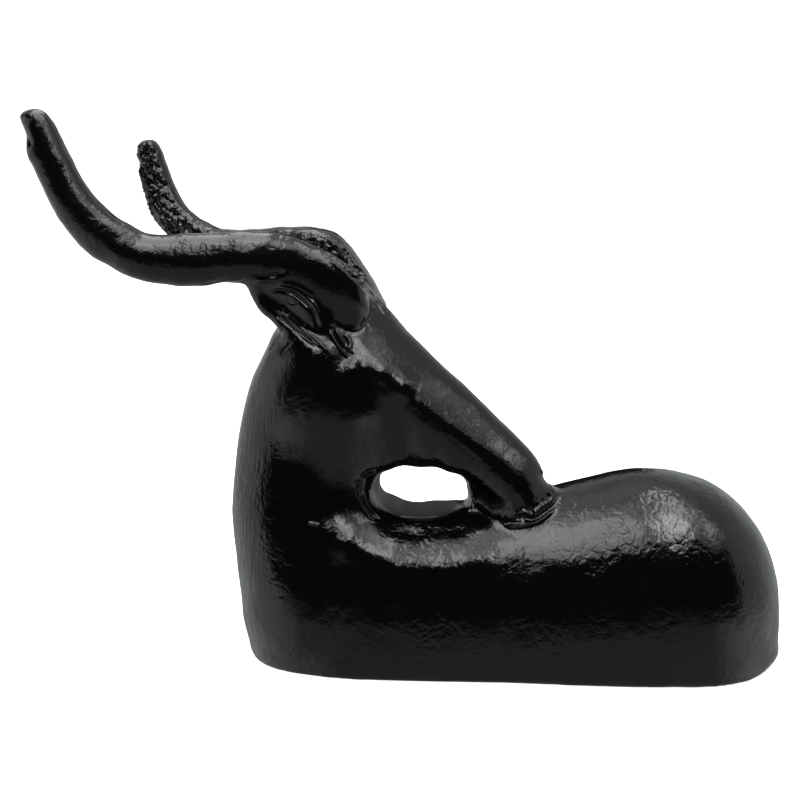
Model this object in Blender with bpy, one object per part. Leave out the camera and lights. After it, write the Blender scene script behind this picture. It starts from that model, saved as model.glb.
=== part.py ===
"""A reclining deer with long horns, its head turned back and its muzzle resting on its own back.

One solid, hand-built in clay: a loaf-shaped body, a chest and neck that rise from its left end, a head that
slopes down to the right, an opening under the jaw, two long S-curved horns and two leaf-shaped ears.
Metres, +Z up. The origin is on the table, at the middle of the flat underside. +X runs from the chest to
the rump, and -Y is the side that the head turns towards.
"""

import math

import bmesh
import bpy
from mathutils import Matrix, Vector

# The body: a loaf that lies along X
FOOT_LENGTH = 0.1820
BODY_WIDTH = 0.0740
RUMP_HEIGHT = 0.0670
SADDLE_HEIGHT = 0.0555
WIDEST_HEIGHT = 0.0150
RUMP_ROUNDING = 0.0370
UNDERCUT_DEPTH = 0.0450
BRIDGE_WIDTH = 0.0250

# The chest and the neck
CHEST_WIDTH = 0.0660
CHEST_OVERHANG = 0.0062
NECK_HEIGHT = 0.1200
SHOULDER_DIAMETER = 0.0320

# The head: where the brow is, which way the face runs, and its sizes. The nose comes down on the saddle.
BROW_SETBACK = 0.0448
BROW_RISE = 0.0043
BROW = Vector((BROW_SETBACK - FOOT_LENGTH / 2, 0.0020, NECK_HEIGHT + BROW_RISE))
HEAD_TURN = math.radians(12.5)
FACE_LENGTH = 0.0860
NOSE_RISE = 0.0108
HEAD_DIP = math.asin((BROW.z - SADDLE_HEIGHT - NOSE_RISE) / FACE_LENGTH)
HEAD_DEPTH = 0.0400
CHEEK_WIDTH = 0.0350
SKULL_LENGTH = 0.0340
SKULL_DEPTH = 0.0300

# The opening under the jaw. It widens towards both sides.
OPENING_WIDTH = 0.0312
OPENING_HEIGHT = 0.0168
OPENING_SETBACK = 0.0597
OPENING_RISE = 0.0053
OPENING_REACH = 0.0450
OPENING_FLARE = 0.90

# The horns. A tip is given from the brow: level towards the back of the head, out to its side, and up.
NEAR_HORN_TIP = Vector((0.1092, 0.0380, 0.0635))
NEAR_HORN_DIAMETER = 0.0168
HORN_LEAN = math.radians(5.0)
FAR_HORN_TIP = Vector((0.1018, -0.0350, 0.0525))
FAR_HORN_DIAMETER = 0.0148

# The ears. Their root is given from the brow like a horn's tip.
EAR_ROOT = Vector((0.0085, 0.0205, -0.0138))
EAR_SPREAD = 0.0020
EAR_LENGTH = 0.0385
EAR_WIDTH = 0.0155
EAR_THICKNESS = 0.0105
EAR_RISE = math.radians(36.0)
EAR_TILT = math.radians(0.0)

# How the clay is worked: the grain of the fused surface, how far its joints are smoothed, the share of the
# faces that is kept, and the short reach over which a horn's direction is measured
TORSO_GRAIN = 0.0015
TORSO_SMOOTHING = 24
SKIN_GRAIN = 0.0012
SKIN_SMOOTHING = 8
FACES_KEPT = 0.072
BURIED = 0.0100
SKIM = 0.0004
NEARBY = 0.0005

RING_POINTS = 48
UP = Vector((0.0, 0.0, 1.0))
GLAZE_BLACK = (0.006, 0.007, 0.007, 1.0)

# The middle lines of the horns, in shares of the tip's three distances from the brow
NEAR_HORN = [
    (0.100, 0.160, -0.170), (0.078, 0.280, -0.050), (0.107, 0.366, 0.081), (0.181, 0.418, 0.170),
    (0.306, 0.510, 0.219), (0.500, 0.645, 0.210), (0.644, 0.745, 0.215), (0.733, 0.808, 0.269),
    (0.821, 0.871, 0.385), (0.905, 0.930, 0.580), (0.958, 0.968, 0.795), (1.003, 0.997, 1.010),
]
FAR_HORN = [
    (0.060, 0.180, -0.200), (0.088, 0.340, -0.049), (0.160, 0.417, 0.105), (0.225, 0.460, 0.235),
    (0.300, 0.514, 0.300), (0.400, 0.583, 0.316), (0.622, 0.741, 0.272), (0.706, 0.799, 0.295),
    (0.792, 0.856, 0.362), (0.880, 0.915, 0.475), (0.942, 0.960, 0.664), (1.005, 1.000, 1.030),
]
HORN_TAPER = [
    (0.0, 0.80), (0.06, 1.0), (0.55, 1.0), (0.70, 0.91), (0.80, 0.83), (0.90, 0.75), (0.97, 0.64),
    (1.0, 0.45),
]


def flowing(knots):
    """A smooth function through (position, value) knots. A value is a number or a Vector."""
    places = [place for place, _ in knots]
    values = [value for _, value in knots]
    last = len(knots) - 1

    def slope(i):
        low, high = max(i - 1, 0), min(i + 1, last)
        return (values[high] - values[low]) / (places[high] - places[low])

    def at(place):
        place = min(max(place, places[0]), places[last])
        i = next(k for k in range(last) if place <= places[k + 1])
        span = places[i + 1] - places[i]
        t = (place - places[i]) / span
        eased = (values[i + 1] - values[i]) * (t * t * (3 - 2 * t))
        leaving = slope(i) * span * (t * (1 - t) ** 2)
        arriving = slope(i + 1) * span * (t * t * (1 - t))
        return values[i] + eased + leaving - arriving

    return at


def along(length, *shares):
    """A smooth function whose knots are given in shares of a length."""
    return flowing([(share * length, value) for share, value in shares])


def steps(start, end, count):
    return [start + (end - start) * k / (count - 1) for k in range(count)]


def ring(centre, side, up, half_side, above, below, narrowing=0.0, power=2.0):
    """A closed oval section, which may be taller above its centre than below it, and narrow upwards."""
    points = []
    for k in range(RING_POINTS):
        angle = 2 * math.pi * k / RING_POINTS
        c, s = math.cos(angle), math.sin(angle)
        across = math.copysign(abs(c) ** (2 / power), c)
        height = math.copysign(abs(s) ** (2 / power), s)
        reach = half_side * (1 - narrowing * max(height, 0.0))
        points.append(centre + side * across * reach + up * height * (above if s > 0 else below))
    return points


def loft(rings):
    """A closed mesh through rings of points, with flat ends."""
    shape = bmesh.new()
    rows = [[shape.verts.new(point) for point in points] for points in rings]
    for near, far in zip(rows, rows[1:]):
        for k in range(RING_POINTS):
            after = (k + 1) % RING_POINTS
            shape.faces.new((near[k], near[after], far[after], far[k]))
    shape.faces.new(rows[0])
    shape.faces.new(rows[-1])
    bmesh.ops.recalc_face_normals(shape, faces=shape.faces)
    mesh = bpy.data.meshes.new("loft")
    shape.to_mesh(mesh)
    shape.free()
    return mesh


def body():
    """The loaf: oval sections across X that round off at the rump."""
    start = -0.40 * FOOT_LENGTH
    end = 0.508 * FOOT_LENGTH
    rounding = end - RUMP_ROUNDING
    rise = RUMP_HEIGHT - SADDLE_HEIGHT
    back_line = along(
        FOOT_LENGTH,
        (-0.40, SADDLE_HEIGHT + 0.17 * rise), (-0.34, SADDLE_HEIGHT + 0.17 * rise),
        (-0.165, SADDLE_HEIGHT - 0.28 * rise), (0.0, SADDLE_HEIGHT + 0.15 * rise),
        (0.12, SADDLE_HEIGHT + 0.61 * rise), (0.247, RUMP_HEIGHT), (0.508, RUMP_HEIGHT - 0.5 * rise),
    )
    half_width = along(
        FOOT_LENGTH,
        (-0.40, 0.37 * BODY_WIDTH), (-0.33, 0.43 * BODY_WIDTH), (-0.25, 0.45 * BODY_WIDTH),
        (-0.165, 0.455 * BODY_WIDTH), (0.0, 0.455 * BODY_WIDTH), (0.11, 0.475 * BODY_WIDTH),
        (0.30, 0.50 * BODY_WIDTH), (0.508, 0.50 * BODY_WIDTH),
    )
    widest = along(
        FOOT_LENGTH,
        (-0.40, 0.60 * WIDEST_HEIGHT), (-0.10, 0.75 * WIDEST_HEIGHT), (0.20, WIDEST_HEIGHT),
        (0.30, 1.35 * WIDEST_HEIGHT), (0.508, 1.35 * WIDEST_HEIGHT),
    )
    squareness = along(FOOT_LENGTH, (-0.40, 2.6), (-0.14, 2.5), (0.0, 2.2), (0.15, 2.1), (0.508, 2.1))
    places = steps(start, rounding, 24)
    places += [rounding + RUMP_ROUNDING * math.sin(a) for a in steps(0.06, 0.495 * math.pi, 14)]
    rings = []
    for x in places:
        past = max(x - rounding, 0.0) / RUMP_ROUNDING
        share = math.sqrt(max(1 - past ** 2.35, 0.0))
        rings.append(ring(
            Vector((x, 0.0, widest(x))), Vector((0, 1, 0)), UP, half_width(x) * share,
            (back_line(x) - widest(x)) * share, UNDERCUT_DEPTH * max(share, 0.35), power=squareness(x),
        ))
    return loft(rings)


def neck():
    """The chest and neck: level sections that rise from the table to the skull."""
    chest = -0.5 * FOOT_LENGTH
    bottom = -BURIED / NECK_HEIGHT
    front = along(
        NECK_HEIGHT,
        (bottom, chest + 0.15 * CHEST_OVERHANG), (0.0, chest), (0.21, chest - 0.68 * CHEST_OVERHANG),
        (0.42, chest - CHEST_OVERHANG), (0.66, chest - 0.60 * CHEST_OVERHANG),
        (0.83, chest + 0.48 * CHEST_OVERHANG), (1.0, chest + 2.1 * CHEST_OVERHANG),
    )
    back = along(
        NECK_HEIGHT,
        (bottom, 0.33 * chest), (0.42, 0.42 * chest), (0.52, 0.44 * chest), (0.615, 0.22 * chest),
        (0.70, 0.155 * chest), (0.785, 0.24 * chest), (0.88, 0.395 * chest), (1.0, 0.53 * chest),
    )
    half_width = along(
        NECK_HEIGHT,
        (bottom, 0.41 * CHEST_WIDTH), (0.0, 0.43 * CHEST_WIDTH), (0.07, 0.46 * CHEST_WIDTH),
        (0.15, 0.475 * CHEST_WIDTH), (0.25, 0.46 * CHEST_WIDTH), (0.40, 0.41 * CHEST_WIDTH),
        (0.50, 0.37 * CHEST_WIDTH), (0.56, 0.355 * CHEST_WIDTH), (0.60, 0.35 * CHEST_WIDTH),
        (0.64, 0.357 * CHEST_WIDTH), (0.70, 0.38 * CHEST_WIDTH), (0.75, 0.388 * CHEST_WIDTH),
        (0.80, 0.38 * CHEST_WIDTH), (0.86, 0.36 * CHEST_WIDTH), (0.93, 0.325 * CHEST_WIDTH),
        (1.0, 0.15 * CHEST_WIDTH),
    )
    narrowing = along(
        NECK_HEIGHT,
        (bottom, 0.0), (0.46, 0.0), (0.52, 0.05), (0.58, 0.35), (0.64, 0.75), (0.70, 0.70), (0.80, 0.50),
        (1.0, 0.42),
    )
    rings = []
    for z in steps(-BURIED, NECK_HEIGHT, 36):
        length = back(z) - front(z)
        rings.append(ring(
            Vector((front(z) + 0.46 * length, 0.0, z)), Vector((0, 1, 0)), Vector((1, 0, 0)),
            half_width(z), 0.54 * length, 0.46 * length, narrowing=narrowing(z), power=2.05,
        ))
    return loft(rings)


def shoulder(hand):
    """A fold of clay that runs down from the side of the neck, around the opening, to the flank."""
    start, end = -0.385, -0.12
    radius = along(
        FOOT_LENGTH,
        (start, 0.15 * SHOULDER_DIAMETER), (-0.365, 0.36 * SHOULDER_DIAMETER),
        (-0.33, 0.50 * SHOULDER_DIAMETER), (-0.20, 0.50 * SHOULDER_DIAMETER), (end, 0.38 * SHOULDER_DIAMETER),
    )
    aside = along(
        FOOT_LENGTH, (start, 0.185 * CHEST_WIDTH), (-0.33, 0.192 * CHEST_WIDTH), (end, 0.205 * CHEST_WIDTH),
    )
    rise = along(
        FOOT_LENGTH,
        (start, 0.83 * SADDLE_HEIGHT), (-0.33, 0.77 * SADDLE_HEIGHT), (-0.26, 0.64 * SADDLE_HEIGHT),
        (-0.20, 0.55 * SADDLE_HEIGHT), (end, 0.50 * SADDLE_HEIGHT),
    )
    rings = []
    for x in steps(start * FOOT_LENGTH, end * FOOT_LENGTH, 20):
        centre = Vector((x, hand * aside(x), rise(x)))
        rings.append(ring(centre, Vector((0, 1, 0)), UP, radius(x), radius(x), radius(x)))
    return loft(rings)


def bridge():
    """The clay between the back and the jaw, which the opening goes through."""
    start, end = -0.25, 0.03
    top = along(
        FOOT_LENGTH, (start, 1.25 * SADDLE_HEIGHT), (-0.10, 1.13 * SADDLE_HEIGHT), (end, SADDLE_HEIGHT),
    )
    half_width = along(
        FOOT_LENGTH,
        (start, 0.50 * BRIDGE_WIDTH), (-0.10, 0.50 * BRIDGE_WIDTH), (-0.02, 0.36 * BRIDGE_WIDTH),
        (end, 0.25 * BRIDGE_WIDTH),
    )
    middle = 0.75 * SADDLE_HEIGHT
    rings = []
    for x in steps(start * FOOT_LENGTH, end * FOOT_LENGTH, 16):
        rings.append(ring(
            Vector((x, 0.0, middle)), Vector((0, 1, 0)), UP,
            half_width(x), top(x) - middle, middle - WIDEST_HEIGHT, power=3.0,
        ))
    return loft(rings)


def head_axes():
    """Down the face, out of the brow, and towards the side that the head turns to."""
    level = Vector((math.cos(HEAD_TURN), -math.sin(HEAD_TURN), 0.0))
    down_face = level * math.cos(HEAD_DIP) - UP * math.sin(HEAD_DIP)
    out = level * math.sin(HEAD_DIP) + UP * math.cos(HEAD_DIP)
    return down_face, out, down_face.cross(out)


def from_brow(back, aside, rise):
    """A point given from the brow: level towards the back of the head, out to its near side, and up."""
    level = Vector((math.cos(HEAD_TURN), -math.sin(HEAD_TURN), 0.0))
    return BROW - level * back + head_axes()[2] * aside + UP * rise


def head():
    """The head: sections across the face, narrow along the bridge of the nose and full at the cheeks."""
    down_face, out, side = head_axes()
    start, end = -0.10, 1.06
    drop = along(
        FACE_LENGTH,
        (start, 0.050 * HEAD_DEPTH), (0.0, 0.0), (0.80, 0.0), (0.90, 0.020 * HEAD_DEPTH),
        (1.0, 0.100 * HEAD_DEPTH), (end, 0.175 * HEAD_DEPTH),
    )
    half_width = along(
        FACE_LENGTH,
        (start, 0.54 * CHEEK_WIDTH), (0.10, 0.58 * CHEEK_WIDTH), (0.30, 0.56 * CHEEK_WIDTH),
        (0.60, 0.45 * CHEEK_WIDTH), (0.85, 0.37 * CHEEK_WIDTH), (end, 0.31 * CHEEK_WIDTH),
    )
    depth = along(
        FACE_LENGTH,
        (start, 0.85 * HEAD_DEPTH), (0.10, HEAD_DEPTH), (0.30, 1.05 * HEAD_DEPTH),
        (0.55, 0.875 * HEAD_DEPTH), (0.75, 0.65 * HEAD_DEPTH), (end, 0.50 * HEAD_DEPTH),
    )
    cheek_line = along(FACE_LENGTH, (start, 0.28), (0.30, 0.30), (0.60, 0.33), (end, 0.40))
    rings = []
    for s in steps(start * FACE_LENGTH, end * FACE_LENGTH, 28):
        above = cheek_line(s) * depth(s)
        centre = BROW + down_face * s - out * (drop(s) + above)
        under = depth(s) - above
        rings.append(ring(centre, side, out, half_width(s), above, under, narrowing=0.60, power=2.1))
    return loft(rings)


def skull():
    """The back of the head, a rounded lump under the horns."""
    side = head_axes()[2]
    rings = []
    for angle in steps(0.06 * math.pi, 0.94 * math.pi, 16):
        share = math.sin(angle)
        centre = from_brow(SKULL_LENGTH / 2 * (0.85 + math.cos(angle)), 0.0, -0.23 * SKULL_DEPTH)
        half = share * SKULL_DEPTH / 2
        rings.append(ring(centre, side, UP, 1.13 * half, half, half))
    return loft(rings)


def horn(shares, tip, diameter, lean):
    """A tapering horn along its middle line, with a blunt tip. Its outer face is a little flat, and leans."""
    spots = [from_brow(back * tip.x, aside * tip.y, rise * tip.z) for back, aside, rise in shares]
    reach = [0.0]
    for first, second in zip(spots, spots[1:]):
        reach.append(reach[-1] + (second - first).length)
    line = flowing(list(zip(reach, spots)))
    radius = along(reach[-1], *[(share, part * diameter / 2) for share, part in HORN_TAPER])
    squareness = along(reach[-1], (0.0, 3.4), (0.16, 3.4), (0.34, 2.4), (1.0, 2.2))
    rings = []
    for s in steps(0.0, reach[-1], 56):
        ahead = (line(s + NEARBY) - line(s - NEARBY)).normalized()
        across = Matrix.Rotation(lean, 3, ahead) @ ahead.cross(Vector((0, 1, 0))).normalized()
        half = radius(s)
        rings.append(ring(line(s), across, across.cross(ahead), half, half, half, power=squareness(s)))
    return loft(rings)


def ear(hand):
    """A long leaf that lies along the side of the head, with a hollow in its outer face."""
    root = from_brow(EAR_ROOT.x, hand * EAR_ROOT.y, EAR_ROOT.z)
    tip = from_brow(
        EAR_ROOT.x + EAR_LENGTH * math.cos(EAR_RISE), hand * (EAR_ROOT.y + EAR_SPREAD),
        EAR_ROOT.z + EAR_LENGTH * math.sin(EAR_RISE),
    )
    ahead = (tip - root).normalized()
    outward = head_axes()[2] * hand
    upward = outward.cross(ahead).normalized() * hand
    tilt = Matrix.Rotation(EAR_TILT * hand, 3, ahead)
    outward, upward = tilt @ outward, tilt @ upward
    width = flowing([(0.0, 0.20), (0.15, 0.70), (0.45, 1.0), (0.75, 0.85), (1.0, 0.25)])
    rings = []
    for share in steps(0.0, 1.0, 20):
        middle = root + (tip - root) * share
        half = width(share) * EAR_WIDTH / 2
        thick = 1.5 * math.sqrt(width(share)) * EAR_THICKNESS / 2
        points = []
        for k in range(RING_POINTS):
            angle = 2 * math.pi * k / RING_POINTS
            s = math.sin(angle)
            bulge = s * (1 - 0.75 * s * s) if s > 0 else 1.4 * s
            points.append(middle + upward * math.cos(angle) * half + outward * bulge * thick)
        rings.append(points)
    return loft(rings)


def joined(meshes):
    """Several meshes as one object, whose shells may overlap."""
    shape = bmesh.new()
    for mesh in meshes:
        shape.from_mesh(mesh)
        bpy.data.meshes.remove(mesh)
    together = bpy.data.meshes.new("clay")
    shape.to_mesh(together)
    shape.free()
    lump = bpy.data.objects.new("clay", together)
    bpy.context.scene.collection.objects.link(lump)
    return lump


def finished(lump):
    """The object's mesh with its modifiers applied. The object itself is removed."""
    bpy.context.view_layer.update()
    evaluated = lump.evaluated_get(bpy.context.evaluated_depsgraph_get())
    mesh = bpy.data.meshes.new_from_object(evaluated)
    bpy.data.objects.remove(lump)
    return mesh


def fuse(lump, grain, smoothing=0):
    """Melts overlapping shells into one skin and rounds the joints between them."""
    remesh = lump.modifiers.new("fuse", "REMESH")
    remesh.mode = "VOXEL"
    remesh.voxel_size = grain
    remesh.use_smooth_shade = True
    if smoothing:
        smooth = lump.modifiers.new("smooth", "SMOOTH")
        smooth.factor = 0.5
        smooth.iterations = smoothing


def cut(lump, name, mesh):
    """Takes a shape out of the clay. The cutter stays in the file, unrendered."""
    cutter = bpy.data.objects.new(name, mesh)
    bpy.context.scene.collection.objects.link(cutter)
    cutter.hide_render = True
    cutter.display_type = "WIRE"
    boolean = lump.modifiers.new(name, "BOOLEAN")
    boolean.operation = "DIFFERENCE"
    boolean.solver = "EXACT"
    boolean.object = cutter


def opening():
    """The opening under the jaw: an oval across Y that flares at both ends."""
    centre = Vector((OPENING_SETBACK - FOOT_LENGTH / 2, 0.0, SADDLE_HEIGHT + OPENING_RISE))
    rings = []
    for y in steps(-OPENING_REACH, OPENING_REACH, 19):
        flare = 1 + OPENING_FLARE * (y / OPENING_REACH) ** 2
        half_height = flare * OPENING_HEIGHT / 2
        rings.append(ring(
            centre + Vector((0, y, 0)), Vector((1, 0, 0)), UP,
            flare * OPENING_WIDTH / 2, half_height, half_height, power=2.7,
        ))
    return loft(rings)


def below(top):
    """A block under the figure, which cuts it flat at a height."""
    size = Matrix.Diagonal((2 * FOOT_LENGTH, FOOT_LENGTH, 5 * BURIED, 1.0))
    shape = bmesh.new()
    bmesh.ops.create_cube(shape, size=1.0, matrix=Matrix.Translation((0, 0, top - 2.5 * BURIED)) @ size)
    mesh = bpy.data.meshes.new("block")
    shape.to_mesh(mesh)
    shape.free()
    return mesh


def glaze():
    """Black gloss glaze over the whole figure."""
    material = bpy.data.materials.new("black_glaze")
    material.use_nodes = True
    shader = material.node_tree.nodes["Principled BSDF"]
    shader.inputs["Base Color"].default_value = GLAZE_BLACK
    shader.inputs["Roughness"].default_value = 0.18
    shader.inputs["Metallic"].default_value = 0.0
    return material


def main():
    for obj in list(bpy.data.objects):
        bpy.data.objects.remove(obj)
    torso = joined([body(), neck(), shoulder(-1), shoulder(1), bridge(), head(), skull()])
    fuse(torso, TORSO_GRAIN)
    cut(torso, "opening_cutter", opening())
    fuse(torso, TORSO_GRAIN, TORSO_SMOOTHING)
    cut(torso, "table_cutter", below(-SKIM))
    near_horn = horn(NEAR_HORN, NEAR_HORN_TIP, NEAR_HORN_DIAMETER, HORN_LEAN)
    far_horn = horn(FAR_HORN, FAR_HORN_TIP, FAR_HORN_DIAMETER, -HORN_LEAN)
    deer = joined([finished(torso), near_horn, far_horn, ear(1), ear(-1)])
    deer.name = "deer"
    fuse(deer, SKIN_GRAIN, SKIN_SMOOTHING)
    thin = deer.modifiers.new("thin", "DECIMATE")
    thin.ratio = FACES_KEPT
    cut(deer, "skim_cutter", below(0.0))
    deer.data.materials.append(glaze())
    deer.data.shade_smooth()


main()
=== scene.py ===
"""The looks of a reclining deer in black-glazed clay: its worked skin, its glaze, a pale sheet of
paper under it and a soft light.

Metres, +Z up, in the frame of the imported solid: +X runs from the chest to the rump, and -Y is the
side that the head turns towards. Places on the skin are pixels of the 800 by 800 photograph, cast
from its camera onto the clay.
"""

import math

import bmesh
import bpy
import numpy as np
from mathutils import Matrix, Vector
from mathutils.bvhtree import BVHTree
from mathutils.kdtree import KDTree


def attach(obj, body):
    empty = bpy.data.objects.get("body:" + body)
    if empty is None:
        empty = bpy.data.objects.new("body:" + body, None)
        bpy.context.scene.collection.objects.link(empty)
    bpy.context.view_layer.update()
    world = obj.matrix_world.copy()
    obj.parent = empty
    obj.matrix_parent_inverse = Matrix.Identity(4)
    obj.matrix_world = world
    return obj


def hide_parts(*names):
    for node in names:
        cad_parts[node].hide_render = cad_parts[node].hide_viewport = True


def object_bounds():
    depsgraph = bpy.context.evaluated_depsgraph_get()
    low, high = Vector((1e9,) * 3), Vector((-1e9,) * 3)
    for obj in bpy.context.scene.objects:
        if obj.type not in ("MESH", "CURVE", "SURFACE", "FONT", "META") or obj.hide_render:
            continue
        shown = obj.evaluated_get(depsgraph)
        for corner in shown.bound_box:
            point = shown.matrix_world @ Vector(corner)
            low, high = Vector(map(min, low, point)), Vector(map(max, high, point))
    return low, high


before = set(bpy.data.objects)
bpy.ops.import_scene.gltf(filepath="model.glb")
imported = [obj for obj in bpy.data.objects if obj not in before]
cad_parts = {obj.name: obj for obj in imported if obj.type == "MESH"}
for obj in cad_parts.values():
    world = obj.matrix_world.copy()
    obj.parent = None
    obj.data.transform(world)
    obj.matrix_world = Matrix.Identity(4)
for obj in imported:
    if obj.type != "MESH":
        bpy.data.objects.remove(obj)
SOLID_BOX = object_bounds()

# The photograph's camera: it looks at TARGET from DISTANCE, turned round the deer and raised above
# it. PIXEL is how wide one of the photograph's pixels is at TARGET. SENSOR is in millimetres.
IMAGE_SIDE = 800
PIXEL = 0.000344
DISTANCE = 0.600
TARGET = Vector((-0.0390, 0.0, 0.0900))
VIEW_TURN = math.radians(4.0)
VIEW_RISE = math.radians(9.0)
SENSOR = 36.0

# The skin: an even net of small faces over the solid, smoothed so that the solid's facets melt
# away (each round smooths and then swells it back), and made finer twice around the lines that are
# drawn in the clay, and once where the clay is rough
WELD = 1e-6
SKIN_GRAIN = 0.00132
MELTING_PULLS = [0.60, -0.62]
MELTING_ROUNDS = 34
FINE_REACHES = (0.0024, 0.0014)
FINE_FROM_ROUGHNESS = 0.20
FINE_MELTING_ROUNDS = 3
SKIN_MARGIN = 0.00003

# The head, as the solid has it: the brow, the way the face is turned, and how far from the head's
# middle its near side or far side starts
BROW = Vector((-0.0462, 0.0020, 0.1243))
HEAD_TURN = math.radians(12.5)
MIDDLE = 0.001

# The hand's marks: how deep and how wide each kind is, and the detail and distortion of its
# pattern. SCAR_RIDGE is how broad a scar's ridge is, as a share of its pattern. The marks start a
# little over the table, and the horns waver more than the rest. Here and below, a pair of places
# is where something starts and where it is full.
MARKS = {
    "Dent": (0.00042, 0.0140, 1.0, 0.0),
    "Ripple": (0.00013, 0.0042, 2.0, 0.8),
    "Scar": (0.00036, 0.0056, 0.2, 1.6),
}
SCAR_RIDGE = 0.13
CLAY_SEED = 7.0
MARKS_OVER_TABLE = (0.0005, 0.0040)
HORN_WAVER, WAVER_OVER_BROW = 0.9, (0.008, 0.018)

# Where the clay was left rough: on the faces of the horns that look inwards (0 is across, 1 is
# straight in), less so in the groove between their roots, and along the seam of the mouth
ROUGH_OVER_BROW, ROUGH_X = (0.004, 0.010), (-0.040, -0.050)
NEAR_HORN_FACING, FAR_HORN_FACING = (0.60, 0.90), (0.36, 0.75)
GROOVE_X, SMOOTHER_IN_GROOVE = (-0.078, -0.066), 0.35
SEAM_SPOTS = [(0.002, -0.018, 0.0575), (0.008, -0.017, 0.0585), (0.013, -0.014, 0.0600)]
SEAM_REACH, ROUGH_AT_SEAM = 0.0035, 0.8

# The opening under the jaw, as the solid has it, and the glaze that it shelters: how far that
# goes from the opening's middle line, how many times less far upwards, how near to the deer's
# sides, and how rough dust and a thin coat leave it
OPENING_X, OPENING_Z = -0.0313, 0.0608
SHELTER_REACH, SHELTER_FLATNESS = (0.0170, 0.0153), 1.6
SHELTER_Y = (0.022, 0.014)
SHELTER_ROUGHNESS = 0.50

# The glaze: where it changes over the deer, how rough it is, how deep its fine relief goes, how
# far its creases wander, and the share of the horns' pits that the body has
HORNS_Z, FACE_Z = (0.130, 0.138), (0.068, 0.080)
CHEST_X, NECK_Z = (-0.074, -0.090), (0.126, 0.116)
GLAZE_IOR = 1.50
GLAZE_ROUGHNESS, HORN_ROUGHNESS = (0.06, 0.15), 0.17
CREASE_DEPTH, GRAIN_DEPTH, STREAK_DEPTH, PIT_DEPTH = 0.00006, 0.00006, 0.00030, 0.00022
CREASE_DRIFT = 0.0060
BODY_PITS = 0.45

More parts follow.
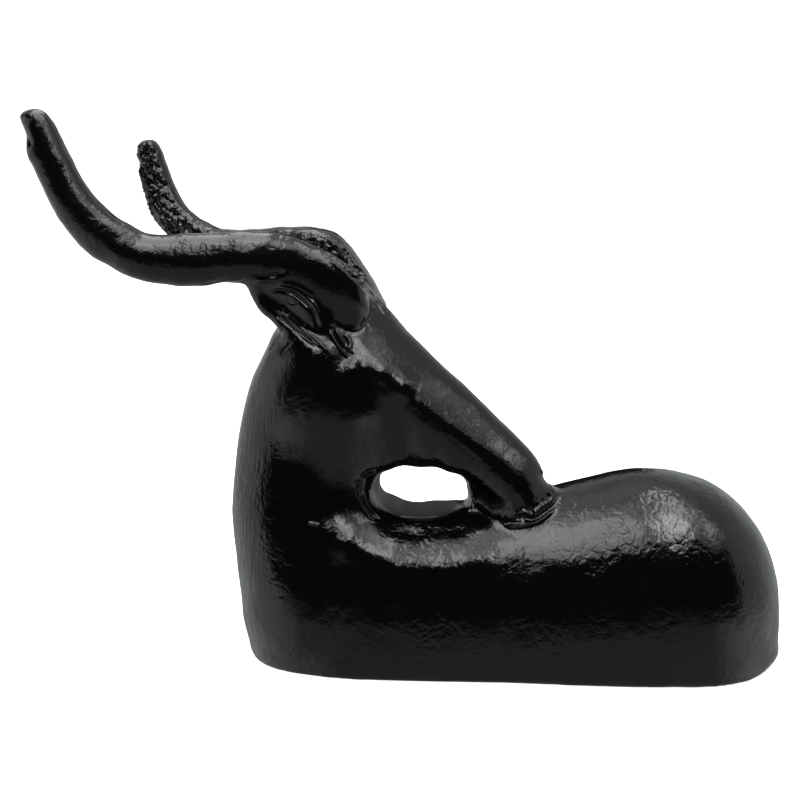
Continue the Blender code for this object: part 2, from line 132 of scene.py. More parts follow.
# Where fingers pulled the clay out or in: the pixel of the photograph, how far it went to the
# right and down, how wide the pull was, all in pixels, and whether it took the head's near side,
# its far side or both
NEAR, FAR, BOTH = 1, -1, 0
PULLS = {
    "near_tip_top": ((42, 107), (-0.4, 2.4), 8, NEAR),
    "near_tip_right": ((50, 114), (-1.2, 0.8), 9, NEAR),
    "near_tip_corner": ((21, 117), (-2.5, -1.0), 6, NEAR),
    "near_tip_hollow": ((23, 135), (3.4, 0.0), 9, NEAR),
    "near_tip_heel": ((31, 156), (-2.8, 0.6), 9, NEAR),
    "near_horn_inside": ((94, 194), (-0.8, 0.6), 12, NEAR),
    "near_horn_inside_lower": ((130, 229), (1.3, -2.2), 12, NEAR),
    "near_horn_belly_left": ((110, 269), (1.7, -2.6), 16, NEAR),
    "near_horn_belly": ((135, 281), (1.0, -2.8), 16, NEAR),
    "near_horn_belly_right": ((162, 287), (0.5, -2.8), 16, NEAR),
    "near_horn_lump": ((192, 288), (0.0, -1.6), 12, NEAR),
    "near_horn_arch": ((222, 287), (0.0, -5.0), 15, NEAR),
    "near_horn_armpit": ((243, 288), (0.6, -3.6), 10, NEAR),
    "near_horn_top_left": ((160, 239), (0.0, -3.0), 14, NEAR),
    "near_horn_top": ((186, 239), (0.0, -4.6), 15, NEAR),
    "near_horn_top_middle": ((212, 239), (0.0, -4.8), 15, NEAR),
    "near_horn_top_right": ((240, 238), (0.0, -5.0), 15, NEAR),
    "near_horn_shoulder": ((266, 238), (0.0, -4.4), 15, NEAR),
    "near_horn_root": ((292, 240), (0.0, -3.2), 15, NEAR),
    "ear_edge": ((272, 323), (2.0, -1.8), 9, NEAR),
    "far_tip_top": ((146, 138), (0.6, 2.6), 10, FAR),
    "far_tip_corner": ((134, 146), (2.0, 0.8), 7, FAR),
    "far_tip_left": ((137, 162), (2.2, 0.0), 8, FAR),
    "far_tip_right": ((160, 152), (0.8, -0.2), 8, FAR),
    "far_horn_right": ((168, 175), (1.0, -0.4), 12, FAR),
    "far_horn_left": ((145, 190), (-0.6, 0.2), 12, FAR),
    "far_horn_left_lower": ((153, 212), (-1.4, 0.8), 12, FAR),
    "far_horn_knuckle": ((200, 216), (-0.6, 1.4), 9, FAR),
    "far_horn_top_left": ((218, 224), (0.0, 2.4), 10, FAR),
    "far_horn_top": ((264, 225), (0.0, 2.2), 14, FAR),
    "far_horn_top_right": ((292, 225), (0.0, 2.2), 14, FAR),
    "far_root_top": ((336, 236), (1.0, -1.8), 12, FAR),
    "far_root": ((374, 278), (-1.4, 1.2), 12, FAR),
    "far_root_end": ((383, 291), (-3.6, 1.8), 12, FAR),
    "far_root_foot": ((387, 306), (-0.8, 0.2), 9, FAR),
    "face_upper": ((412, 333), (-1.6, 1.6), 22, BOTH),
    "face_lower": ((440, 361), (-2.0, 2.0), 26, BOTH),
    "nose": ((547, 477), (-2.8, 1.9), 9, BOTH),
    "neck_top": ((278, 333), (-3.2, -1.2), 13, BOTH),
    "neck_upper": ((267, 354), (-2.2, -0.8), 16, BOTH),
    "neck_middle": ((256, 381), (-3.4, -1.0), 18, BOTH),
    "neck_lower": ((247, 408), (-1.8, -0.4), 18, BOTH),
    "chest": ((241, 436), (-0.8, 0.0), 20, BOTH),
    "chest_lower": ((236, 508), (-1.6, 0.0), 24, BOTH),
    "foot": ((246, 620), (-1.8, 0.2), 18, BOTH),
    "back": ((612, 472), (0.0, -0.6), 26, BOTH),
    "back_end": ((658, 471), (0.0, -0.7), 24, BOTH),
    "rump_top": ((694, 474), (-0.5, 1.4), 26, BOTH),
    "rump_upper": ((722, 488), (-1.2, 1.7), 30, BOTH),
    "rump": ((749, 514), (-1.8, 1.2), 32, BOTH),
    "rump_lower": ((768, 548), (-2.0, 0.5), 32, BOTH),
    "rump_side": ((779, 592), (-1.6, 0.2), 24, BOTH),
    "rump_foot": ((770, 654), (5.0, 0.0), 12, BOTH),
    "hole_top_left": ((390, 465), (1.2, 2.4), 12, BOTH),
    "hole_top": ((420, 461), (0.0, 4.4), 15, BOTH),
    "hole_top_right": ((450, 466), (-1.2, 4.0), 12, BOTH),
    "hole_left": ((379, 482), (0.8, -0.3), 9, BOTH),
    "hole_bottom_left": ((393, 499), (1.0, -2.6), 11, BOTH),
    "hole_bottom": ((436, 503), (0.0, -2.2), 14, BOTH),
    "hole_corner": ((464, 497), (4.6, 4.2), 8, BOTH),
}

# Lines in the clay: how high each stands (or how deep it is cut), its half width, and its way over
# the photograph
EAR_LINES = {
    "ear_upper_rim": (0.00060, 0.0008, [
        (270, 287), (284, 287), (297, 291), (308, 299), (315, 307), (324, 329),
    ]),
    "ear_upper_cut": (-0.00080, 0.0007, [
        (268, 291), (283, 291), (295, 295), (305, 303), (312, 312), (319, 331),
    ]),
    "ear_inner_rim": (0.00035, 0.0006, [(277, 283), (290, 284), (303, 289), (316, 298)]),
    "ear_lower_rim": (0.00065, 0.0007, [
        (275, 306), (288, 318), (299, 327), (308, 334), (316, 340), (331, 355),
    ]),
    "ear_lower_cut": (-0.00090, 0.0008, [
        (272, 309), (286, 322), (298, 332), (308, 339), (320, 349),
    ]),
    "ear_second_rim": (0.00035, 0.0005, [(279, 304), (291, 315), (303, 325), (313, 331)]),
    "ear_scratch": (-0.00025, 0.0004, [(286, 300), (292, 304), (299, 302)]),
}
HEAD_LINES = {
    "horn_rim": (0.00040, 0.0009, [
        (296, 237), (312, 245), (329, 258), (347, 275), (364, 292), (377, 305), (386, 313),
    ]),
    "horn_cut": (-0.00090, 0.0009, [
        (300, 236), (316, 244), (334, 257), (352, 274), (369, 290), (383, 304),
    ]),
    "horn_and_ear": (-0.00070, 0.0009, [(246, 278), (262, 276), (276, 275), (286, 270)]),
    "horn_and_ear_fold": (0.00040, 0.0007, [(252, 282), (266, 280), (279, 279), (290, 274)]),
    "wrinkle_first": (0.00055, 0.0006, [(328, 328), (334, 340), (342, 351), (350, 359)]),
    "wrinkle_first_cut": (-0.00080, 0.0006, [(332, 327), (338, 339), (346, 350), (354, 357)]),
    "wrinkle_second": (0.00055, 0.0006, [(335, 328), (341, 340), (348, 349), (355, 354)]),
    "wrinkle_third": (0.00050, 0.0006, [(347, 335), (350, 343), (349, 350)]),
    "wrinkle_third_cut": (-0.00060, 0.0006, [(343, 334), (346, 342), (345, 350)]),
    "brow_edge": (-0.00060, 0.0012, [(338, 328), (355, 332), (368, 322), (376, 309)]),
    "brow_swell": (0.00110, 0.0052, [
        (340, 360), (352, 367), (366, 371), (382, 376), (400, 385), (416, 396),
    ]),
    "brow_fork_left": (0.00045, 0.0006, [(370, 299), (373, 306), (375, 313)]),
    "brow_fork_right": (0.00045, 0.0006, [(380, 303), (385, 309), (391, 315)]),
    "brow_fork_cut": (-0.00060, 0.0006, [(375, 300), (380, 308), (384, 315)]),
    "neck_streak_left": (-0.00040, 0.0007, [(268, 353), (276, 341), (284, 329)]),
    "neck_streak_right": (-0.00040, 0.0007, [(279, 355), (288, 345), (297, 336)]),
    "groove_ridge": (0.00100, 0.0007, [
        (321, 236), (338, 249), (347, 262), (355, 275), (364, 288), (373, 291),
    ]),
    "groove_ridge_outer": (0.00080, 0.0007, [
        (334, 241), (346, 252), (352, 262), (362, 272), (369, 284),
    ]),
    "groove_dash_first": (-0.00050, 0.0005, [(346, 262), (348, 272)]),
    "groove_dash_second": (-0.00050, 0.0005, [(352, 268), (355, 279)]),
    "groove_dash_third": (-0.00050, 0.0005, [(359, 274), (363, 284)]),
    "tip_notch": (-0.00120, 0.0011, [(20, 131), (26, 138), (30, 147)]),
    "tip_lump": (0.00080, 0.0016, [(24, 116), (33, 118)]),
    "far_tip_notch": (-0.00080, 0.0010, [(143, 151), (147, 158), (144, 166)]),
    "underside_fold": (0.00045, 0.0008, [(196, 286), (212, 284), (228, 280), (246, 278)]),
}
BODY_LINES = {
    "cheek_line": (-0.00012, 0.0014, [(346, 362), (380, 385), (420, 415), (460, 446), (500, 481)]),
    "shelf_under_hole": (-0.00070, 0.0038, [
        (384, 523), (402, 531), (428, 533), (454, 531), (480, 524),
    ]),
    "roll_under_hole": (0.00080, 0.0050, [
        (312, 512), (328, 528), (346, 544), (370, 556), (396, 564), (426, 567), (456, 564),
        (484, 558), (510, 551),
    ]),
    "nose_edge": (0.00050, 0.0008, [(539, 468), (548, 480), (554, 494)]),
    "seam_upper": (0.00070, 0.0007, [
        (512, 518), (522, 512), (532, 514), (541, 506), (549, 502), (557, 492),
    ]),
    "seam_cut": (-0.00090, 0.0008, [
        (506, 521), (520, 517), (534, 519), (545, 512), (553, 506), (562, 497),
    ]),
    "seam_lower": (0.00060, 0.0007, [
        (502, 525), (514, 526), (526, 524), (540, 520), (550, 513), (556, 507),
    ]),
    "seam_dash_first": (-0.00060, 0.0005, [(530, 508), (533, 516)]),
    "seam_dash_second": (-0.00060, 0.0005, [(543, 500), (547, 508)]),
    "lip_under_hole": (0.00045, 0.0005, [(394, 516), (410, 517), (428, 517), (446, 515)]),
    "lip_right_of_hole": (0.00050, 0.0005, [(468, 480), (473, 492), (472, 504), (468, 513)]),
    "crease_left_of_hole": (-0.00060, 0.0009, [
        (380, 468), (367, 473), (359, 484), (362, 500), (372, 514), (384, 523),
    ]),
    "fold_left_of_hole": (0.00045, 0.0006, [(354, 486), (361, 479), (371, 474), (381, 472)]),
    "fold_below_left": (0.00045, 0.0006, [(357, 497), (362, 507), (368, 516), (375, 523)]),
    "nick_on_shoulder": (0.00040, 0.0005, [(306, 522), (313, 524), (320, 526)]),
}

# How a line is laid: how many pixels lie between its spots, the share of it that fades in and out
# at its ends, how much its height wavers and over how many spots, and how many half widths it
# reaches
LINE_SPACING = 0.6
LINE_ENDS = 0.22
LINE_WAVER, WAVER_SPOTS = 0.35, 20
LINE_REACH = 2.5

# The studio: a pale sheet to stand on, and soft panels that hang level over the deer, each given
# by its left, right, front and back edge, its height and its radiance
SHEET_SIDE, PAPER_ROUGHNESS, PAPER_GLOW = 4.0, 0.9, 0.80
DAYLIGHT = 1.2
HIGH, LOW = 0.60, 0.36
PANELS = {
    "panel_front": (-0.250, -0.045, -0.50, -0.22, HIGH, 4.5),
    "panel_front_edge": (-0.300, -0.095, -0.68, -0.50, HIGH, 3.2),
    "panel_front_corner": (-0.095, -0.045, -0.62, -0.50, HIGH, 2.2),
    "panel_front_back": (-0.195, 0.000, -0.22, -0.05, HIGH, 1.0),
    "panel_between": (-0.045, 0.045, -0.58, -0.20, HIGH, 1.2),
    "panel_middle": (0.052, 0.150, -0.50, 0.12, HIGH, 4.2),
    "panel_right": (0.150, 0.320, -0.52, 0.02, HIGH, 1.4),
    "panel_far_right": (0.320, 0.700, -0.52, 0.02, HIGH, 0.6),
    "panel_rump": (0.250, 0.315, -0.20, -0.03, LOW, 2.6),
    "panel_shoulder": (0.065, 0.125, -0.33, -0.13, LOW, 5.0),
    "panel_horns": (-0.190, -0.082, -0.145, 0.20, LOW, 3.4),
}

# The room that only the glaze mirrors. What a mirrored ray meets depends on the way that it goes:
# each edge of the room is the ray's coordinate, where the change starts and ends, and the light
# before and after it. "behind" is +Y, turned a little towards +X.
ROOM_RADIUS = 3.0
ROOM_COLOUR = "#f4fbf8"
BEHIND_TURN = 0.25
ROOM_DARK, WALL_LIGHT, WINDOW_LIGHT, CEILING_LIGHT = 0.015, 0.60, 1.00, 1.20
PAPER_LIGHT, PAPER_GAIN_RIGHT, PAPER_GAIN_LEFT = 0.33, 0.75, 0.55
ROOM_EDGES = {
    "wall": ("behind", -0.20, 0.05, ROOM_DARK, WALL_LIGHT),
    "right of gap": ("x", 0.06, 0.14, 0.0, 1.0),
    "left of gap": ("x", -0.13, -0.19, 0.0, 1.0),
    "over gap": ("z", 0.36, 0.52, 0.03, 1.0),
    "window": ("x", -0.84, -0.97, ROOM_DARK, WINDOW_LIGHT),
    "ceiling": ("z", 0.80, 0.96, 0.0, 1.0),
    "paper on right": ("x", 0.50, 1.00, PAPER_LIGHT, PAPER_LIGHT + PAPER_GAIN_RIGHT),
    "paper on left": ("x", -0.30, -0.90, 0.0, PAPER_GAIN_LEFT),
    "low": ("z", -0.04, -0.30, 0.0, 1.0),
    "low on left": ("z", 0.00, -0.14, 0.0, 1.0),
    "left": ("x", -0.35, -0.80, 0.0, 1.0),
}
ROOM_SUMS = {
    "beside gap": ("ADD", "right of gap", "left of gap"),
    "around gap": ("MAXIMUM", "beside gap", "over gap"),
    "wall with gap": ("MULTIPLY", "wall", "around gap"),
    "walls": ("MAXIMUM", "wall with gap", "window"),
    "paper": ("ADD", "paper on right", "paper on left"),
    "left corner": ("MULTIPLY", "low on left", "left"),
    "below": ("MAXIMUM", "low", "left corner"),
}


def linear(code):
    """A colour written as an sRGB hex code, in the linear light that a shader takes."""
    channels = [int(code[k:k + 2], 16) / 255 for k in (1, 3, 5)]
    return tuple(
        c / 12.92 if c <= 0.04045 else ((c + 0.055) / 1.055) ** 2.4 for c in channels
    ) + (1.0,)


def per_metre(millimetres):
    """A pattern's scale, from the real size of what it draws."""
    return 1000 / millimetres


def node(tree, kind, settings=None, inputs=None):
    """Adds a node and returns its outputs. An input takes a value, or the socket that feeds it."""
    made = tree.nodes.new(kind)
    for name, value in (settings or {}).items():
        setattr(made, name, value)
    for name, value in (inputs or {}).items():
        if isinstance(value, bpy.types.NodeSocket):
            tree.links.new(value, made.inputs[name])
        else:
            made.inputs[name].default_value = value
    return made.outputs


def camera_axes():
    """To the right, up and back towards the camera, as unit vectors."""
    right = Vector((math.cos(VIEW_TURN), math.sin(VIEW_TURN), 0.0))
    back = Vector((
        math.sin(VIEW_TURN) * math.cos(VIEW_RISE), -math.cos(VIEW_TURN) * math.cos(VIEW_RISE),
        math.sin(VIEW_RISE),
    ))
    return right, back.cross(right), back


def head_side():
    """The way out of the head's near side, level."""
    return np.array((-math.sin(HEAD_TURN), -math.cos(HEAD_TURN), 0.0))


def points_of(mesh):
    points = np.empty(len(mesh.vertices) * 3)
    mesh.vertices.foreach_get("co", points)
    return points.reshape(-1, 3)


def normals_of(mesh):
    normals = np.empty(len(mesh.vertices) * 3)
    mesh.vertex_normals.foreach_get("vector", normals)
    return normals.reshape(-1, 3)


def put_points(mesh, points):
    mesh.vertices.foreach_set("co", points.astype(np.float32).ravel())
    mesh.update()


def keep_attribute(mesh, name, values):
    attribute = mesh.attributes.get(name) or mesh.attributes.new(name, "FLOAT", "POINT")
    attribute.data.foreach_set("value", values.astype(np.float32))


def ramp(values, low, high):
    """0 at low, 1 at high, and a soft step between them."""
    share = np.clip((values - low) / (high - low), 0.0, 1.0)
    return share * share * (3 - 2 * share)


def tree_of(spots):
    tree = KDTree(len(spots))
    for k, spot in enumerate(spots):
        tree.insert(spot, k)
    tree.balance()
    return tree


def distance_to(mesh, spots):
    """How far each point of a mesh is from the nearest of some spots."""
    tree = tree_of(spots)
    return np.array([tree.find(point.co)[2] for point in mesh.vertices])


def applied(obj):
    """The object's mesh with its modifiers in it. The modifiers are removed from the object."""
    bpy.context.view_layer.update()
    evaluated = obj.evaluated_get(bpy.context.evaluated_depsgraph_get())
    mesh = bpy.data.meshes.new_from_object(evaluated)
    obj.modifiers.clear()
    return mesh


def raw_skin():
    """The solid's surface, merged and made anew as an even net."""
    shape = bmesh.new()
    shape.from_mesh(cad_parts["deer"].data)
    bmesh.ops.remove_doubles(shape, verts=shape.verts, dist=WELD)
    mesh = bpy.data.meshes.new("deer_skin")
    shape.to_mesh(mesh)
    shape.free()
    skin = bpy.data.objects.new("deer_skin", mesh)
    bpy.context.scene.collection.objects.link(skin)
    remesh = skin.modifiers.new("net", "REMESH")
    remesh.mode = "VOXEL"
    remesh.voxel_size = SKIN_GRAIN
    remesh.use_smooth_shade = True
    skin.data = applied(skin)
    return skin


def melt(mesh, rounds):
    """Smooths out what is finer than a few millimetres, and keeps the thickness of the horns."""
    edges = np.empty(len(mesh.edges) * 2, np.int64)
    mesh.edges.foreach_get("vertices", edges)
    first, second = edges.reshape(-1, 2).T
    points = points_of(mesh)
    count = len(points)
    neighbours = np.bincount(edges, minlength=count)
    for pull in MELTING_PULLS * rounds:
        for axis in range(3):
            held = points[:, axis]
            total = np.bincount(first, held[second], count)
            total += np.bincount(second, held[first], count)
            points[:, axis] = held + pull * (total / neighbours - held)
    put_points(mesh, points)


def settle(mesh):
    """Keeps the skin inside the solid's box, with a flat underside."""
    low, high = (np.array(corner) for corner in SOLID_BOX)
    points = np.clip(points_of(mesh), low + SKIN_MARGIN * np.array((1, 1, 0)), high - SKIN_MARGIN)
    points[points[:, 2] < 2 * SKIN_MARGIN, 2] = 0.0
    put_points(mesh, points)


def pull_clay(mesh):
    """Moves the skin by the pulls. Where they overlap, they share the clay between them."""
    right, up, back = (np.array(axis) for axis in camera_axes())
    points = points_of(mesh)
    from_target = points - np.array(TARGET)
    nearness = 1 - from_target @ back / DISTANCE
    across = IMAGE_SIDE / 2 + from_target @ right / nearness / PIXEL
    down = IMAGE_SIDE / 2 - from_target @ up / nearness / PIXEL
    aside = (points - np.array(BROW)) @ head_side()
    shares = np.zeros(len(points))
    moves = np.zeros((len(points), 2))
    for place, way, reach, side in PULLS.values():
        share = np.exp(-((across - place[0]) ** 2 + (down - place[1]) ** 2) / reach ** 2)
        if side:
            share *= ramp(side * aside, -MIDDLE, MIDDLE)
        shares += share
        moves += share[:, None] * way
    moves *= (PIXEL * nearness / np.maximum(shares, 1.0))[:, None]
    put_points(mesh, points + moves[:, :1] * right - moves[:, 1:] * up)


def flowing(knots, spacing):
    """Points a pixel or less apart on a smooth curve through pixels of the photograph."""
    knots = np.array(knots, float)
    ends = np.vstack([2 * knots[0] - knots[1], knots, 2 * knots[-1] - knots[-2]])
    points = []
    for before, start, end, after in zip(ends, ends[1:], ends[2:], ends[3:]):
        for t in np.arange(0.0, 1.0, spacing / np.linalg.norm(end - start)):
            points.append(0.5 * (
                2 * start + (end - before) * t
                + (2 * before - 5 * start + 4 * end - after) * t ** 2
                + (3 * start - before - 3 * end + after) * t ** 3
            ))
    return points + [knots[-1]]


def cast(surface, pixel):
    """Where a pixel of the photograph falls on the clay, or None beside it."""
    right, up, back = camera_axes()
    aside, above = (pixel[0] - IMAGE_SIDE / 2) * PIXEL, (IMAGE_SIDE / 2 - pixel[1]) * PIXEL
    ray = right * aside + up * above - back * DISTANCE
    return surface.ray_cast(TARGET + back * DISTANCE, ray.normalized())[0]


def other_side(surface, point):
    """The place on the head's far side that faces a point on its near side."""
    side = Vector(head_side())
    return surface.find_nearest(point - side * 2 * (point - BROW).dot(side))[0]


def drawn_lines(mesh):
    """The lines in the clay, each as its height, its half width and its spots on the skin.

    The far ear has the near ear's lines too.
    """
    surface = BVHTree.FromPolygons(
        [point.co[:] for point in mesh.vertices], [face.vertices[:] for face in mesh.polygons]
    )
    lines = []
    for height, width, pixels in (EAR_LINES | HEAD_LINES | BODY_LINES).values():
        spots = [cast(surface, pixel) for pixel in flowing(pixels, LINE_SPACING)]
        lines.append((height, width, [spot for spot in spots if spot]))
    for height, width, spots in lines[:len(EAR_LINES)]:
        lines.append((height, width, [other_side(surface, spot) for spot in spots]))
    return lines


def draw_lines(mesh, lines):
    """Raises or cuts each line in the skin.

    A line fades in and out at its ends, and wavers a little on its way.
    """
    points, normals = points_of(mesh), normals_of(mesh)
    tree = tree_of(points)
    rng = np.random.default_rng(int(CLAY_SEED))
    lift = np.zeros(len(points))
    for height, width, spots in lines:
        knots = rng.uniform(1 - LINE_WAVER, 1 + LINE_WAVER, len(spots) // WAVER_SPOTS + 2)
        shares = np.linspace(0.0, 1.0, len(spots))
        waver = np.interp(shares, np.linspace(0.0, 1.0, len(knots)), knots)
        fade = ramp(shares, 0.0, LINE_ENDS) * ramp(1 - shares, 0.0, LINE_ENDS)
        nearest = {}
        for k, spot in enumerate(spots):
            for _, index, distance in tree.find_range(spot, LINE_REACH * width):
                if distance < nearest.get(index, (math.inf, 0))[0]:
                    nearest[index] = (distance, k)
        for index, (distance, k) in nearest.items():
            lift[index] += height * waver[k] * fade[k] * math.exp(-(distance / width) ** 2)
    put_points(mesh, points + normals * lift[:, None])


def scarred(mesh):
    """How rough the clay was left at each point, from 0 to 1."""
    points, normals = points_of(mesh), normals_of(mesh)
    aside = (points - np.array(BROW)) @ head_side()
    inward = -np.sign(aside) * (normals @ head_side())
    facing = np.where(aside > 0, ramp(inward, *NEAR_HORN_FACING), ramp(inward, *FAR_HORN_FACING))
    on_horns = ramp(points[:, 2] - BROW.z, *ROUGH_OVER_BROW) * ramp(points[:, 0], *ROUGH_X)
    smoother = 1 - SMOOTHER_IN_GROOVE * ramp(points[:, 0], *GROOVE_X)
    at_seam = np.exp(-(distance_to(mesh, SEAM_SPOTS) / SEAM_REACH) ** 2)
    return np.maximum(on_horns * facing * smoother, ROUGH_AT_SEAM * at_seam)


def refine(mesh, spots):
    """Makes the net finer around some spots, and over the clay that was left rough."""
    for k, reach in enumerate(FINE_REACHES):
        wanted = distance_to(mesh, spots) < reach
        if k == 0:
            wanted |= scarred(mesh) > FINE_FROM_ROUGHNESS
        shape = bmesh.new()
        shape.from_mesh(mesh)
        edges = [edge for edge in shape.edges if all(wanted[point.index] for point in edge.verts)]
        bmesh.ops.subdivide_edges(shape, edges=edges, cuts=1, use_grid_fill=True)
        shape.to_mesh(mesh)
        shape.free()


def clay_tree():
    """The hand's marks: shallow dents everywhere, small ripples, and scars where it is rough."""
    tree = bpy.data.node_groups.new("worked_clay", "GeometryNodeTree")
    tree.interface.new_socket("Geometry", in_out="OUTPUT", socket_type="NodeSocketGeometry")
    tree.interface.new_socket("Geometry", in_out="INPUT", socket_type="NodeSocketGeometry")
    measures = [mark + measure for mark in MARKS for measure in (" Depth", " Size")]
    for name in measures + ["Seed"]:
        tree.interface.new_socket(name, in_out="INPUT", socket_type="NodeSocketFloat")
    tree.interface.new_socket("Glaze", in_out="INPUT", socket_type="NodeSocketMaterial")
    given = node(tree, "NodeGroupInput")
    place = node(tree, "GeometryNodeInputPosition")["Position"]
    outward = node(tree, "GeometryNodeInputNormal")["Normal"]
    rough, loose = (
        node(tree, "GeometryNodeInputNamedAttribute", {"data_type": "FLOAT"}, {
            "Name": name,
        })["Attribute"] for name in ("scarred", "worked")
    )

    total = 0.0
    for mark, (_, _, detail, distortion) in MARKS.items():
        scale = node(tree, "ShaderNodeMath", {"operation": "DIVIDE"}, {
            0: 1.0, 1: given[mark + " Size"],
        })["Value"]
        noise = node(tree, "ShaderNodeTexNoise", {"noise_dimensions": "4D"}, {
            "Vector": place, "W": given["Seed"], "Scale": scale,
            "Detail": detail, "Distortion": distortion,
        })["Fac"]
        height = node(tree, "ShaderNodeMath", {"operation": "SUBTRACT"}, {
            0: noise, 1: 0.5,
        })["Value"]
        if mark == "Scar":
            ridge = node(tree, "ShaderNodeMath", {"operation": "ABSOLUTE"}, {0: height})["Value"]
            height = node(tree, "ShaderNodeMapRange", {"interpolation_type": "SMOOTHSTEP"}, {
                "Value": ridge, "From Min": 0.0, "From Max": SCAR_RIDGE,
                "To Min": 0.5, "To Max": -0.5,
            })["Result"]
            height = node(tree, "ShaderNodeMath", {"operation": "MULTIPLY"}, {
                0: height, 1: rough,
            })["Value"]
        for factor in (given[mark + " Depth"], 2.0):
            height = node(tree, "ShaderNodeMath", {"operation": "MULTIPLY"}, {
                0: height, 1: factor,
            })["Value"]
        total = node(tree, "ShaderNodeMath", {"operation": "ADD"}, {0: total, 1: height})["Value"]

    kept = node(tree, "ShaderNodeMath", {"operation": "MULTIPLY"}, {0: total, 1: loose})["Value"]
    offset = node(tree, "ShaderNodeVectorMath", {"operation": "SCALE"}, {
        0: outward, "Scale": kept,
    })["Vector"]
    worked = node(tree, "GeometryNodeSetPosition", None, {
        "Geometry": given["Geometry"], "Offset": offset,
    })["Geometry"]
    plain = node(tree, "GeometryNodeRealizeInstances", None, {"Geometry": worked})["Geometry"]
    glazed = node(tree, "GeometryNodeSetMaterial", None, {
        "Geometry": plain, "Material": given["Glaze"],
    })["Geometry"]
    node(tree, "NodeGroupOutput", None, {"Geometry": glazed})
    return tree


def work_clay(skin, glaze):
    """Presses the hand's marks into the skin, away from the flat underside, and glazes it."""
    mesh = skin.data
    x, y, z = points_of(mesh).T
    on_horns = ramp(z - BROW.z, *WAVER_OVER_BROW)
    from_middle = np.hypot(x - OPENING_X, SHELTER_FLATNESS * (z - OPENING_Z))
    sheltered = ramp(from_middle, *SHELTER_REACH) * ramp(np.abs(y), *SHELTER_Y)
    keep_attribute(mesh, "scarred", scarred(mesh))
    keep_attribute(mesh, "worked", ramp(z, *MARKS_OVER_TABLE) * (1 + HORN_WAVER * on_horns))
    keep_attribute(mesh, "exposed", 1 - sheltered)
    tree = clay_tree()
    hand = skin.modifiers.new("hand", "NODES")
    hand.node_group = tree
    values = {"Seed": CLAY_SEED, "Glaze": glaze}
    for mark, (depth, size, _, _) in MARKS.items():
        values |= {mark + " Depth": depth, mark + " Size": size}
    for socket in tree.interface.items_tree:
        if socket.name in values:
            hand[socket.identifier] = values[socket.name]
    skin.data = applied(skin)


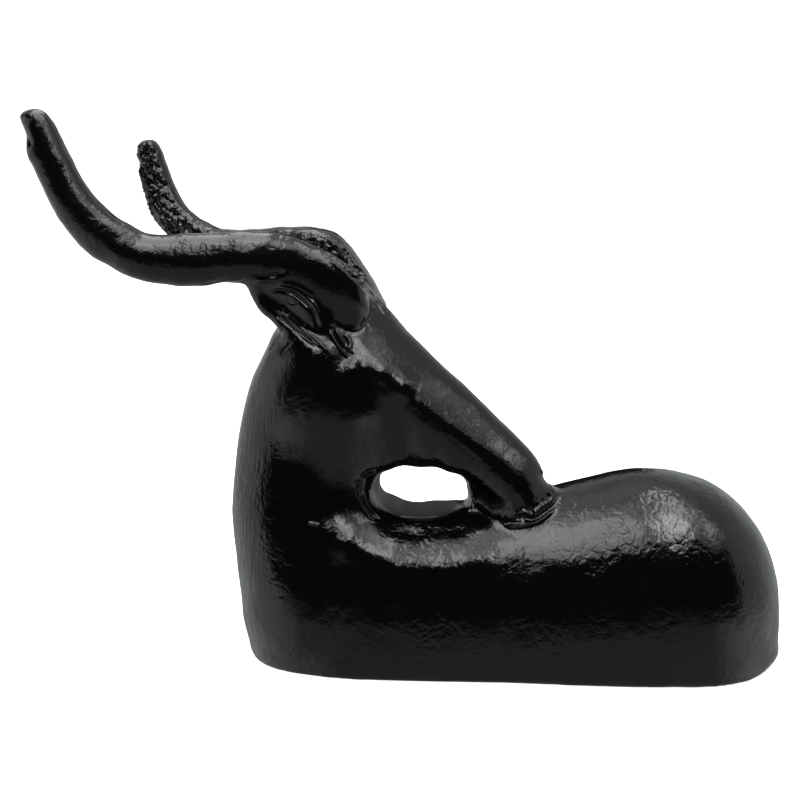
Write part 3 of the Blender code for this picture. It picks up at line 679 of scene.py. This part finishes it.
def black_glaze():
    """Glossy black glaze, brushed on by hand and fired on the clay.

    To the eye it is a near-black mirror with a trace of green, a little duller on the horns,
    whose highlights shallow creases, a fine grain and small pits break up, and streaks of the
    brush run down its chest. A brush's hairs are finer than the photograph's pixels of 0.34 mm,
    so the streaks are drawn 1.1 mm wide and the grain 1.5 mm, as coarse as they need to show.
    """
    material = bpy.data.materials.new("black_glaze")
    material.use_nodes = True
    tree = material.node_tree
    shader = tree.nodes["Principled BSDF"]
    shader.inputs["IOR"].default_value = GLAZE_IOR
    place = node(tree, "ShaderNodeTexCoord")["Object"]
    x, _, z = node(tree, "ShaderNodeSeparateXYZ", None, {0: place}).values()
    exposed = node(tree, "ShaderNodeAttribute", {"attribute_name": "exposed"})["Fac"]

    patterns = {}
    for name, millimetres, inputs in (
        ("clouds", 25, {"Detail": 3.0}),
        ("mottle", 6, {"Detail": 4.0}),
        ("swirl", 5.5, {"Detail": 2.0}),
        ("patches", 18, {"Detail": 2.0}),
        ("grain", 1.5, {"Detail": 3.0, "Roughness": 0.6, "Distortion": 1.0}),
        ("pits", 2.4, {"Detail": 1.5, "Distortion": 0.5}),
    ):
        patterns[name] = node(tree, "ShaderNodeTexNoise", None, {
            "Vector": place, "Scale": per_metre(millimetres), **inputs,
        })
    drift = node(tree, "ShaderNodeVectorMath", {"operation": "SCALE"}, {
        0: patterns["swirl"]["Color"], "Scale": CREASE_DRIFT,
    })["Vector"]
    loose = node(tree, "ShaderNodeVectorMath", {"operation": "ADD"}, {0: place, 1: drift})["Vector"]
    plates = node(tree, "ShaderNodeTexVoronoi", {"feature": "DISTANCE_TO_EDGE"}, {
        "Vector": loose, "Scale": per_metre(4.2),
    })["Distance"]
    drawn_out = node(tree, "ShaderNodeMapping", {"vector_type": "POINT"}, {
        "Vector": place, "Scale": (per_metre(1.1), per_metre(1.1), per_metre(11)),
    })["Vector"]
    streaks = node(tree, "ShaderNodeTexNoise", None, {
        "Vector": drawn_out, "Scale": 1.0, "Detail": 2.0,
    })["Fac"]

    fades = {}
    for name, value, span, before, after in (
        ("plates", plates, (0.0, 0.26), 0.0, 1.0),
        ("patches", patterns["patches"]["Fac"], (0.36, 0.64), 0.0, 1.0),
        ("horns", z, HORNS_Z, 0.0, 1.0),
        ("pit depth", z, HORNS_Z, BODY_PITS, 1.0),
        ("under face", z, FACE_Z, 1.0, 0.0),
        ("chest", x, CHEST_X, 0.0, 1.0),
        ("neck", z, NECK_Z, 0.0, 1.0),
    ):
        fades[name] = node(tree, "ShaderNodeMapRange", {"interpolation_type": "SMOOTHSTEP"}, {
            "Value": value, "From Min": span[0], "From Max": span[1],
            "To Min": before, "To Max": after,
        })["Result"]

    colour = node(tree, "ShaderNodeMix", {"data_type": "RGBA"}, {
        0: patterns["clouds"]["Fac"], 6: linear("#010202"), 7: linear("#030404"),
    })[2]
    dull = node(tree, "ShaderNodeMapRange", None, {
        "Value": patterns["mottle"]["Fac"], "From Min": 0.3, "From Max": 0.7,
        "To Min": GLAZE_ROUGHNESS[0], "To Max": GLAZE_ROUGHNESS[1],
    })["Result"]
    dull = node(tree, "ShaderNodeMix", None, {0: exposed, 2: SHELTER_ROUGHNESS, 3: dull})[0]
    dull = node(tree, "ShaderNodeMix", None, {0: fades["horns"], 2: dull, 3: HORN_ROUGHNESS})[0]

    relief = {}
    for depth, factors in (
        (CREASE_DEPTH, [fades["plates"], fades["patches"], fades["under face"], exposed]),
        (GRAIN_DEPTH, [patterns["grain"]["Fac"], exposed]),
        (STREAK_DEPTH, [streaks, fades["chest"], fades["neck"]]),
        (PIT_DEPTH, [patterns["pits"]["Fac"], fades["pit depth"], exposed]),
    ):
        height = factors[0]
        for factor in factors[1:]:
            height = node(tree, "ShaderNodeMath", {"operation": "MULTIPLY"}, {
                0: height, 1: factor,
            })["Value"]
        relief["Normal"] = node(tree, "ShaderNodeBump", None, {
            "Strength": 1.0, "Distance": depth, "Height": height, **relief,
        })["Normal"]

    tree.links.new(colour, shader.inputs["Base Color"])
    tree.links.new(dull, shader.inputs["Roughness"])
    tree.links.new(relief["Normal"], shader.inputs["Normal"])
    return material


def deer():
    """The worked and glazed skin, which stands for the solid."""
    skin = raw_skin()
    melt(skin.data, MELTING_ROUNDS)
    pull_clay(skin.data)
    lines = drawn_lines(skin.data)
    refine(skin.data, [spot for _, _, spots in lines for spot in spots])
    melt(skin.data, FINE_MELTING_ROUNDS)
    draw_lines(skin.data, lines)
    work_clay(skin, black_glaze())
    settle(skin.data)
    skin.data.shade_smooth()
    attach(skin, "root")
    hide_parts("deer")


def white_paper():
    """Matt white paper, pressed smooth.

    To the eye it is an even white whose cloudiness hardly shows. Its fibres are finer than a
    pixel, so what they leave is drawn as clouds 30 mm wide.
    """
    paper = bpy.data.materials.new("white_paper")
    paper.use_nodes = True
    tree = paper.node_tree
    shader = tree.nodes["Principled BSDF"]
    shader.inputs["Roughness"].default_value = PAPER_ROUGHNESS
    shader.inputs["Specular IOR Level"].default_value = 0.0
    shader.inputs["Emission Strength"].default_value = PAPER_GLOW
    place = node(tree, "ShaderNodeTexCoord")["Object"]
    pulp = node(tree, "ShaderNodeTexNoise", None, {
        "Vector": place, "Scale": per_metre(30), "Detail": 3.0,
    })["Fac"]
    colour = node(tree, "ShaderNodeMix", {"data_type": "RGBA"}, {
        0: pulp, 6: linear("#f4f4f4"), 7: linear("#fafafa"),
    })[2]
    tree.links.new(colour, shader.inputs["Base Color"])
    tree.links.new(colour, shader.inputs["Emission Color"])
    return paper


def sheet():
    """The pale sheet under the deer. The room stands for it in what the glaze mirrors."""
    mesh = bpy.data.meshes.new("sheet")
    half = SHEET_SIDE / 2
    corners = [(-half, -half, 0), (half, -half, 0), (half, half, 0), (-half, half, 0)]
    mesh.from_pydata(corners, [], [(0, 1, 2, 3)])
    mesh.materials.append(white_paper())
    floor = bpy.data.objects.new("sheet", mesh)
    bpy.context.scene.collection.objects.link(floor)
    floor.visible_glossy = False


def room_light():
    """The room as plain light: a dark front, a grey wall with a gap, a window, a ceiling and paper.

    To the eye it is what gives the glaze its dim greys beside the panels' bright ones.
    """
    paint = bpy.data.materials.new("room_light")
    paint.use_nodes = True
    paint.cycles.emission_sampling = "NONE"
    tree = paint.node_tree
    tree.nodes.clear()
    place = node(tree, "ShaderNodeTexCoord")["Object"]
    way = node(tree, "ShaderNodeVectorMath", {"operation": "NORMALIZE"}, {0: place})["Vector"]
    x, y, z = node(tree, "ShaderNodeSeparateXYZ", None, {0: way}).values()
    behind = node(tree, "ShaderNodeMath", {"operation": "MULTIPLY_ADD"}, {
        0: x, 1: BEHIND_TURN, 2: y,
    })["Value"]
    parts = {"x": x, "z": z, "behind": behind}
    for name, (value, start, end, before, after) in ROOM_EDGES.items():
        parts[name] = node(tree, "ShaderNodeMapRange", {"interpolation_type": "SMOOTHSTEP"}, {
            "Value": parts[value], "From Min": start, "From Max": end,
            "To Min": before, "To Max": after,
        })["Result"]
    for name, (operation, first, second) in ROOM_SUMS.items():
        parts[name] = node(tree, "ShaderNodeMath", {"operation": operation}, {
            0: parts[first], 1: parts[second],
        })["Value"]
    upper = node(tree, "ShaderNodeMix", None, {
        0: parts["ceiling"], 2: parts["walls"], 3: CEILING_LIGHT,
    })[0]
    light = node(tree, "ShaderNodeMix", None, {0: parts["below"], 2: upper, 3: parts["paper"]})[0]
    glow = node(tree, "ShaderNodeEmission", None, {
        "Color": linear(ROOM_COLOUR), "Strength": light,
    })["Emission"]
    node(tree, "ShaderNodeOutputMaterial", None, {"Surface": glow})
    return paint


def room():
    """A ball around everything, which only the glaze sees."""
    ball = bmesh.new()
    bmesh.ops.create_uvsphere(ball, u_segments=64, v_segments=32, radius=ROOM_RADIUS)
    mesh = bpy.data.meshes.new("room")
    ball.to_mesh(mesh)
    ball.free()
    mesh.shade_smooth()
    mesh.materials.append(room_light())
    walls = bpy.data.objects.new("room", mesh)
    bpy.context.scene.collection.objects.link(walls)
    walls.visible_camera = walls.visible_diffuse = walls.visible_shadow = False


def soft_light(name, left, right, front, back, height, radiance):
    """A soft panel over the deer, which the camera doesn't see."""
    lamp = bpy.data.lights.new(name, "AREA")
    lamp.shape = "RECTANGLE"
    lamp.size, lamp.size_y = right - left, back - front
    lamp.energy = radiance * math.pi * lamp.size * lamp.size_y
    obj = bpy.data.objects.new(name, lamp)
    obj.location = ((left + right) / 2, (front + back) / 2, height)
    obj.visible_camera = False
    bpy.context.scene.collection.objects.link(obj)


def studio():
    sheet()
    room()
    for name, extent in PANELS.items():
        soft_light(name, *extent)
    world = bpy.data.worlds.new("daylight")
    world.use_nodes = True
    background = world.node_tree.nodes["Background"]
    background.inputs["Color"].default_value = linear("#ffffff")
    background.inputs["Strength"].default_value = DAYLIGHT
    bpy.context.scene.world = world
    world.cycles_visibility.glossy = False
    bpy.context.scene.view_settings.view_transform = "Standard"


def camera():
    right, up, back = camera_axes()
    lens = bpy.data.cameras.new("camera")
    lens.sensor_width = SENSOR
    lens.lens = SENSOR * DISTANCE / (IMAGE_SIDE * PIXEL)
    obj = bpy.data.objects.new("camera", lens)
    obj.matrix_world = Matrix((right, up, back)).transposed().to_4x4()
    obj.location = TARGET + back * DISTANCE
    bpy.context.scene.collection.objects.link(obj)
    bpy.context.scene.camera = obj


camera()
deer()
studio()
